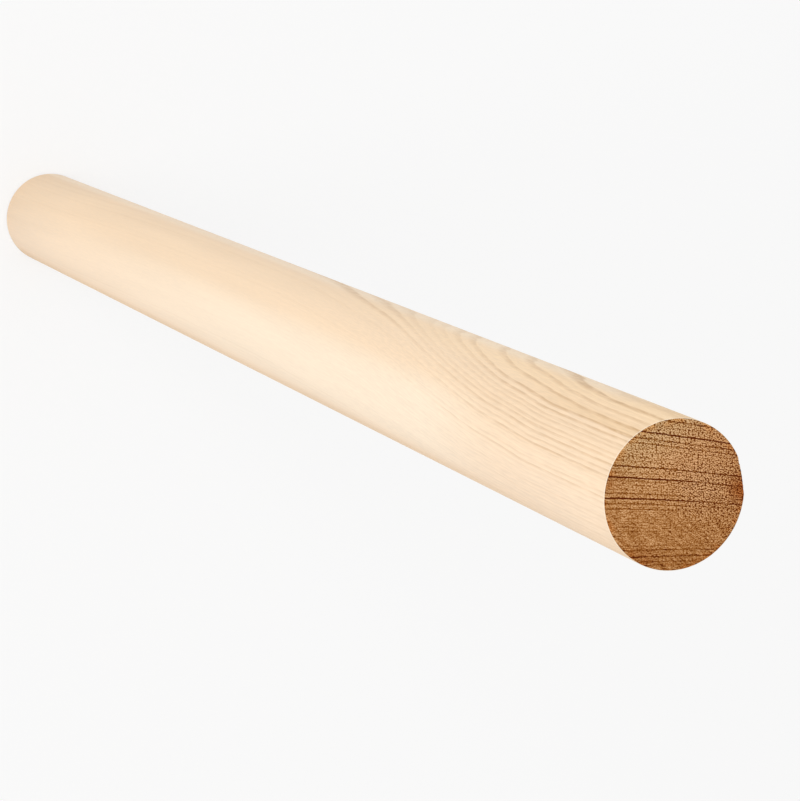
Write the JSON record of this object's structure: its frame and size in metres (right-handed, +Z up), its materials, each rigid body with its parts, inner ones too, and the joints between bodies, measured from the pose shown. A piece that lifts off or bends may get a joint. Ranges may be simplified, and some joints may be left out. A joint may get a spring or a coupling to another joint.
{
  "type": "wooden dowel rod",
  "caption": "Plain round softwood dowel rod, moulded smooth along the grain, with square-sawn ends and eased rims.",
  "frame": {"origin": "centre of the foot end's face, on the rod's axis", "axes": "+Z up the rod along the grain, from the foot end to the top end; the planed flat at the top end faces 11 degrees from +X towards +Y"},
  "size_m": [0.025, 0.025, 0.4],
  "materials": {
    "pine": "bare, planed along the grain and sawn across it"
  },
  "bodies": {
    "root": {"dowel_rod": "pine"}
  },
  "joints": []
}
